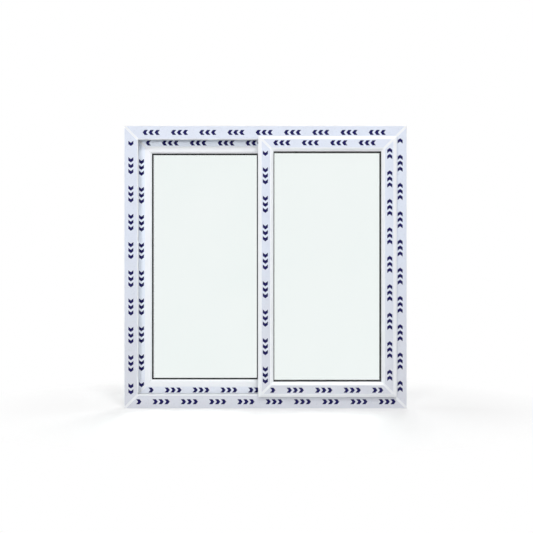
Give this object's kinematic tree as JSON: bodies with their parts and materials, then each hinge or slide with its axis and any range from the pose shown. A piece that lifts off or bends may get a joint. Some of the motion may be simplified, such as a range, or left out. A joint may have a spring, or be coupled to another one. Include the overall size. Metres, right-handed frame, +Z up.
{
  "type": "upvc window",
  "caption": "Square horizontal sliding window in white uPVC, with mitred hollow profiles, a front and a rear glazed sash on rollers, snap-in glazing beads and black gaskets.",
  "frame": {"origin": "middle of the sill's underside, halfway between the frame's front and rear faces", "axes": "+X to the right seen from the front, +Y from front to back, +Z up"},
  "size_m": [1, 0.088, 1],
  "materials": {
    "white_upvc": "satin white extruded uPVC",
    "glass": "clear float glass, faintly green",
    "gasket_rubber": "matte black",
    "aluminium": "mill",
    "brush_pile": "grey woven pile",
    "nylon": "natural nylon"
  },
  "bodies": {
    "root": {"frame_head": "white_upvc", "frame_left_jamb": "white_upvc", "frame_right_jamb": "white_upvc", "frame_sill": "white_upvc", "front_sash_bead_gasket": "gasket_rubber", "front_sash_bead_side_pane": "glass", "front_sash_bottom_bead": "white_upvc", "front_sash_bottom_rail": "white_upvc", "front_sash_brush_seals": "brush_pile", "front_sash_closing_bead": "white_upvc", "front_sash_glass_spacer": "aluminium", "front_sash_interlock": "white_upvc", "front_sash_leg_gasket": "gasket_rubber", "front_sash_leg_side_pane": "glass", "front_sash_lock_stile": "white_upvc", "front_sash_meeting_bead": "white_upvc", "front_sash_meeting_stile": "white_upvc", "front_sash_roller_carriages": "nylon", "front_sash_roller_wheels": "nylon", "front_sash_stile_cover": "white_upvc", "front_sash_top_bead": "white_upvc", "front_sash_top_rail": "white_upvc", "front_track_strip": "aluminium", "rear_sash_bead_gasket": "gasket_rubber", "rear_sash_bead_side_pane": "glass", "rear_sash_bottom_bead": "white_upvc", "rear_sash_bottom_rail": "white_upvc", "rear_sash_brush_seals": "brush_pile", "rear_sash_closing_bead": "white_upvc", "rear_sash_glass_spacer": "aluminium", "rear_sash_interlock": "white_upvc", "rear_sash_leg_gasket": "gasket_rubber", "rear_sash_leg_side_pane": "glass", "rear_sash_lock_stile": "white_upvc", "rear_sash_meeting_bead": "white_upvc", "rear_sash_meeting_stile": "white_upvc", "rear_sash_roller_carriages": "nylon", "rear_sash_roller_wheels": "nylon", "rear_sash_stile_cover": "white_upvc", "rear_sash_top_bead": "white_upvc", "rear_sash_top_rail": "white_upvc", "rear_track_strip": "aluminium"}
  },
  "joints": []
}
